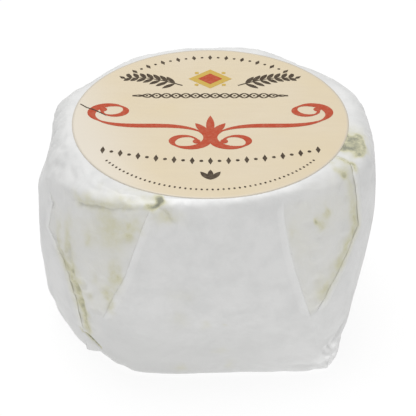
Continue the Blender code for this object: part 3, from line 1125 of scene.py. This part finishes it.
def add_pattern(tree, pattern, stretch=(1.0, 1.0, 1.0)):
    """A noise pattern of the list above."""
    size, detail, rough, low, high, least, most = pattern
    return add_range(tree, add_noise(tree, size, detail, rough, stretch), low, high, least, most)


def add_bump(tree, shader, height, bump):
    """Fine relief of the surface, given by its distance and strength."""
    distance, strength = bump
    node = tree.nodes.new("ShaderNodeBump")
    node.inputs["Distance"].default_value = distance * MM
    node.inputs["Strength"].default_value = strength
    tree.links.new(height, node.inputs["Height"])
    tree.links.new(node.outputs["Normal"], shader.inputs["Normal"])


def paper_material():
    """Thin satin waxed paper. The rind shows through where it lies single on the cheese."""
    material, tree, shader = new_material("wrapping_paper", PAPER_COLOUR, 0.42)
    single = add_math(tree, "MULTIPLY", add_value(tree, "single"), add_pattern(tree, PAPER_MOTTLE))
    stain_and_shade = add_math(tree, "MULTIPLY", add_value(tree, "stain_and_shade"), add_pattern(tree, STAIN_AND_SHADE_PATCHES))
    # Whitened wax at the folds, rim and crumpled corner, which is also a painted highlight there.
    worn_or_highlit = add_math(tree, "MULTIPLY", add_value(tree, "worn_or_highlit"), add_pattern(tree, WHITENING_AND_HIGHLIGHT_PATCHES))
    # Painted shade, greyer towards the front panel's foot.
    free = add_math(tree, "MULTIPLY", add_value(tree, "free"), SHADED_FRONT_SHARE)
    colour = add_mix(tree, add_pattern(tree, PAPER_CLOUD), PAPER_COLOUR, PAPER_SHADE)
    colour = add_mix(tree, free, colour, SHADED_FRONT_COLOUR)
    colour = add_mix(tree, single, colour, SINGLE_PAPER_COLOUR)
    colour = add_mix(tree, worn_or_highlit, colour, WHITENED_AND_HIGHLIT_COLOUR)
    colour = add_mix(tree, stain_and_shade, colour, STAIN_AND_SHADE_COLOUR)
    # Strong values turn dark: dark stains, and the painted shadow in the tip's gap and the tuck's hollow.
    colour = add_mix(tree, add_range(tree, stain_and_shade, *DARK_STAIN_AND_SHADOW), colour, DARK_STAIN_AND_SHADOW_COLOUR)
    tree.links.new(colour, shader.inputs["Base Color"])
    tree.links.new(add_pattern(tree, PAPER_GLOSS), shader.inputs["Roughness"])
    shader.inputs["Specular IOR Level"].default_value = 0.22
    fibres = add_math(tree, "MULTIPLY", add_noise(tree, *PAPER_FIBRES), FIBRE_SHARE)
    add_bump(tree, shader, add_math(tree, "ADD", fibres, add_noise(tree, *PAPER_PUCKERS)), PAPER_BUMP)
    return material


def label_material():
    """Smooth cream paper, paler towards one edge, with a faint laid grain."""
    material, tree, shader = new_material("label_paper", LABEL_COLOUR, 0.46)
    body = add_mix(tree, add_pattern(tree, LABEL_CLOUD), LABEL_COLOUR, LABEL_CLOUD_COLOUR)
    grain = add_pattern(tree, LABEL_GRAIN, LABEL_GRAIN_STRETCH)
    body = add_mix(tree, grain, body, LABEL_GRAIN_COLOUR)
    colour = add_mix(tree, add_value(tree, "pale"), body, LABEL_PALE_COLOUR)
    tree.links.new(colour, shader.inputs["Base Color"])
    add_bump(tree, shader, add_noise(tree, *LABEL_TOOTH), LABEL_BUMP)
    return material


def ink_material(name, colour):
    """Printed ink, a little uneven in depth and flat in sheen."""
    material, tree, shader = new_material(name, colour, 0.6)
    shader.inputs["Specular IOR Level"].default_value = 0.25
    worn_or_highlit = tuple(part + (paper - part) * INK_PAPER_SHARE for part, paper in zip(colour, LABEL_COLOUR))
    tree.links.new(add_mix(tree, add_pattern(tree, INK_PATCHES), colour, worn_or_highlit), shader.inputs["Base Color"])
    return material


def rind_material():
    """Velvety white rind with greyer, damper patches."""
    material, tree, shader = new_material("bloomy_rind", RIND_COLOUR, 0.85)
    colour = add_mix(tree, add_pattern(tree, RIND_PATCHES), RIND_COLOUR, RIND_GREY)
    tree.links.new(colour, shader.inputs["Base Color"])
    shader.inputs["Sheen Weight"].default_value = 0.3
    add_bump(tree, shader, add_noise(tree, *RIND_NAP), RIND_BUMP)
    return material


def floor_material():
    """White floor that mostly glows, so that the object's shadow stays faint."""
    material, _, shader = new_material("studio_floor", FLOOR_COLOUR, 0.9)
    shader.inputs["Specular IOR Level"].default_value = 0.0
    shader.inputs["Emission Color"].default_value = WHITE
    shader.inputs["Emission Strength"].default_value = FLOOR_GLOW
    return material


def give(obj, material):
    """Makes this the object's only material."""
    obj.data.materials.clear()
    obj.data.materials.append(material)


# The studio


def make_floor():
    """The studio's floor, which is no part of the object."""
    reach = FLOOR_HALF_SIZE * MM
    corners = [(-reach, -reach), (reach, -reach), (reach, reach), (-reach, reach)]
    floor = link_mesh("studio_floor", [(x, y, -FLOOR_DROP * MM) for x, y in corners], [(0, 1, 2, 3)])
    give(floor, floor_material())


def aim(obj, target):
    """Turns a light or camera towards a point."""
    direction = Vector(target) - obj.location
    obj.rotation_euler = direction.to_track_quat("-Z", "Y").to_euler()


def add_area_light(name, place, target, size, watts):
    """A round soft light."""
    light = bpy.data.lights.new(name, "AREA")
    light.shape = "DISK"
    light.size = size * MM
    light.energy = watts
    obj = bpy.data.objects.new(name, light)
    bpy.context.scene.collection.objects.link(obj)
    obj.location = Vector(place) * MM
    aim(obj, Vector(target) * MM)


def light_studio():
    """An even white surround and the soft lights."""
    world = bpy.data.worlds.new("white_studio")
    bpy.context.scene.world = world
    world.use_nodes = True
    sky = world.node_tree.nodes["Background"]
    sky.inputs["Color"].default_value = WHITE
    sky.inputs["Strength"].default_value = SKY_STRENGTH
    for softbox in SOFTBOXES:
        add_area_light(*softbox)


def add_camera(shift):
    """A long lens at the height that shows the label's ellipse as in the photograph."""
    tilt = math.radians(CAMERA_ELEVATION)
    target = np.array(CAMERA_AIM) + shift
    back = np.array([0.0, -math.cos(tilt), math.sin(tilt)])
    data = bpy.data.cameras.new("camera")
    data.sensor_width = CAMERA_SENSOR
    data.lens = CAMERA_LENS
    camera = bpy.data.objects.new("camera", data)
    bpy.context.scene.collection.objects.link(camera)
    camera.location = Vector((target + back * CAMERA_DISTANCE) * MM)
    aim(camera, Vector(target * MM))
    bpy.context.scene.camera = camera


def form_shift():
    """How far the wrap's own axis lies from the frame's origin, from the place of its solid."""
    low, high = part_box("paper_wrap")
    middle = 0.5 * (np.array(low) + np.array(high)) / MM
    directions = np.arange(0.0, 360.0, 0.5)
    reach = []
    for kind in ("shoulder", "side"):
        for share in np.linspace(0.0, 1.0, 50):
            radius, _, _ = ring_profile(kind, share, directions)
            reach.append(polar(radius, directions))
    reach = np.concatenate(reach)
    own = 0.5 * (reach.min(axis=0) + reach.max(axis=0))
    return np.array([middle[0] - own[0], middle[1] - own[1], 0.0])


def main():
    """Loads the model and dresses it."""
    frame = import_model()
    scene = bpy.context.scene
    scene.view_settings.view_transform = "Standard"
    shift = form_shift()
    add_camera(shift)
    make_floor()
    light_studio()

    paper = make_paper(shift)
    give(paper, paper_material())
    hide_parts("paper_wrap")
    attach(paper, "root")

    tip = make_tip(shift)
    give(tip, paper.data.materials[0])
    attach(tip, "root")

    label = make_label(shift)
    give(label, label_material())
    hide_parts("label")
    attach(label, "root")

    inks = {"red": RED_INK, "brown": BROWN_INK, "gold": GOLD_INK}
    for name, pieces in make_print(shift).items():
        material = ink_material(name + "_ink", inks[name])
        for piece in pieces:
            give(piece, material)
            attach(piece, "root")

    give(frame["nodes"]["cheese"], rind_material())


main()
